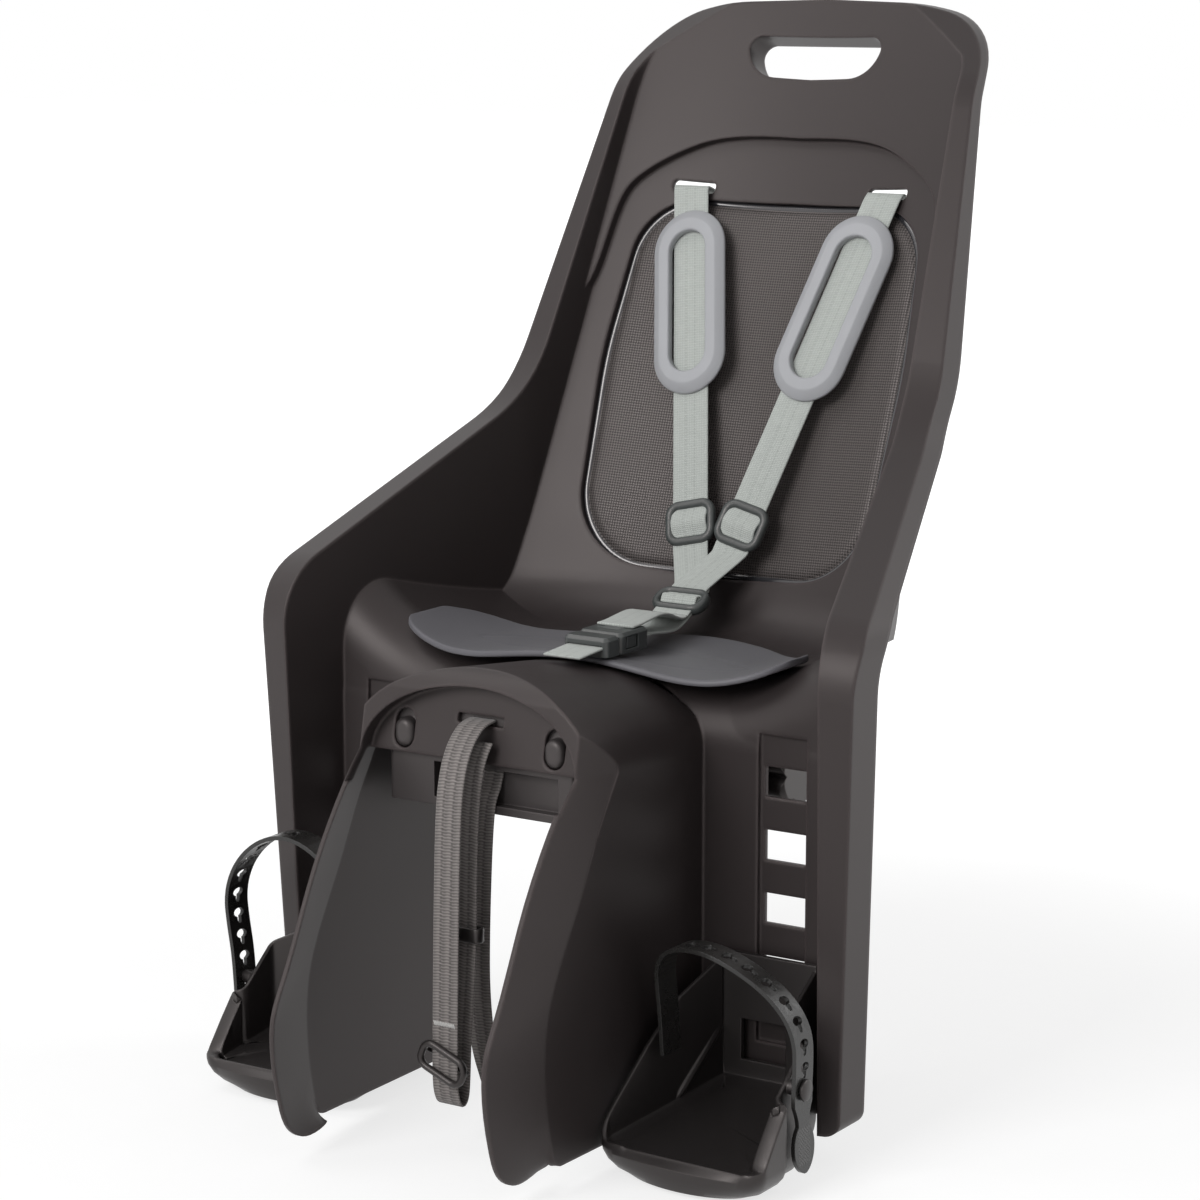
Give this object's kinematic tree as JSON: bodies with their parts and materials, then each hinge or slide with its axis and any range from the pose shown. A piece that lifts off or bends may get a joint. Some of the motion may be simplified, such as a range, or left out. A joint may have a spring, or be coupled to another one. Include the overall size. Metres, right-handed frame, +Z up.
{
  "type": "child bike seat",
  "caption": "Moulded child bike seat with tall bucket back, foam pads, harness, leg panels, height-adjustable strapped footrests and a screw clamp for carrier rails.",
  "frame": {"origin": "midway between the two carrier rails at the middle of the seat's depth over the carrier", "axes": "+Z up; the seat faces -Y, so the rails run along Y; +X is the seated child's left"},
  "size_m": [0.4352, 0.5253, 0.681],
  "materials": {
    "shell": "fine grain, satin",
    "back_foam": "closed-cell foam with a fine dot grid",
    "seat_foam": "closed-cell foam, matte",
    "harness_webbing": "woven webbing",
    "shoulder_foam": "closed-cell foam, matte",
    "harness_slide": "satin",
    "buckle": "satin",
    "safety_webbing": "woven webbing",
    "safety_slide": "satin",
    "clamp": "satin",
    "spindle": "turned",
    "ring": "glossy red",
    "footrest": "satin",
    "foot_strap": "matte"
  },
  "bodies": {
    "seat": {"seat_shell": "shell", "back_pad": "back_foam", "seat_pad": "seat_foam", "shoulder_strap_left": "harness_webbing", "shoulder_strap_right": "harness_webbing", "joining_slide": "harness_slide", "loop_strap_upper": "harness_webbing", "loop_strap_lower": "harness_webbing", "buckle_body": "buckle", "buckle_tongue": "buckle", "crotch_strap": "harness_webbing", "safety_strap": "safety_webbing", "clamp_housing": "clamp"},
    "pad_left": {"shoulder_pad_left": "shoulder_foam"},
    "pad_right": {"shoulder_pad_right": "shoulder_foam"},
    "slide_left": {"strap_slide_left": "harness_slide"},
    "slide_right": {"strap_slide_right": "harness_slide"},
    "safety_slide": {"safety_glide": "safety_slide"},
    "keeper": {"strap_keeper": "safety_slide"},
    "screw": {"clamp_spindle": "spindle", "clamp_knob": "clamp", "knob_ring": "ring"},
    "jaw_left": {"clamp_jaw_left": "clamp"},
    "jaw_right": {"clamp_jaw_right": "clamp"},
    "foot_left": {"footrest_left": "footrest", "foot_strap_left": "foot_strap"},
    "foot_right": {"footrest_right": "footrest", "foot_strap_right": "foot_strap"}
  },
  "joints": [
    {"name": "footrest_left_height", "type": "slide", "parent": "seat", "child": "foot_left", "axis": [0, 0, 1], "range_m": [0, 0.1179]},
    {"name": "footrest_right_height", "type": "slide", "parent": "seat", "child": "foot_right", "axis": [0, 0, 1], "range_m": [0, 0.1179]},
    {"name": "clamp_knob_turn", "type": "hinge", "parent": "seat", "child": "screw", "pos_m": [0, 0.041, 0.022], "axis": [1, 0, 0], "range_deg": [0, 1082]},
    {"name": "jaw_left_grip", "type": "slide", "parent": "seat", "child": "jaw_left", "axis": [-1, 0, 0], "range_m": [0, 0.015]},
    {"name": "jaw_right_grip", "type": "slide", "parent": "seat", "child": "jaw_right", "axis": [1, 0, 0], "range_m": [0, 0.0151]},
    {"name": "shoulder_pad_left_shift", "type": "slide", "parent": "seat", "child": "pad_left", "axis": [-0.2309, -0.3708, -0.8995], "range_m": [0, 0.03]},
    {"name": "shoulder_pad_right_shift", "type": "slide", "parent": "seat", "child": "pad_right", "axis": [0.2309, -0.3708, -0.8995], "range_m": [0, 0.03]},
    {"name": "strap_slide_left_shift", "type": "slide", "parent": "seat", "child": "slide_left", "axis": [0.2309, 0.3708, 0.8995], "range_m": [0, 0.04]},
    {"name": "strap_slide_right_shift", "type": "slide", "parent": "seat", "child": "slide_right", "axis": [-0.2309, 0.3708, 0.8995], "range_m": [0, 0.04]},
    {"name": "safety_slide_shift", "type": "slide", "parent": "seat", "child": "safety_slide", "axis": [0, 0, 1], "range_m": [0, 0.06]},
    {"name": "keeper_shift", "type": "slide", "parent": "seat", "child": "keeper", "axis": [0, 0.02, 0.9998], "range_m": [0, 0.03]}
  ],
  "couplings": [
    {"joint": "clamp_knob_turn", "follows": "jaw_left_grip", "rad_per_m": 1256.6},
    {"joint": "jaw_right_grip", "follows": "jaw_left_grip", "ratio": 1}
  ]
}
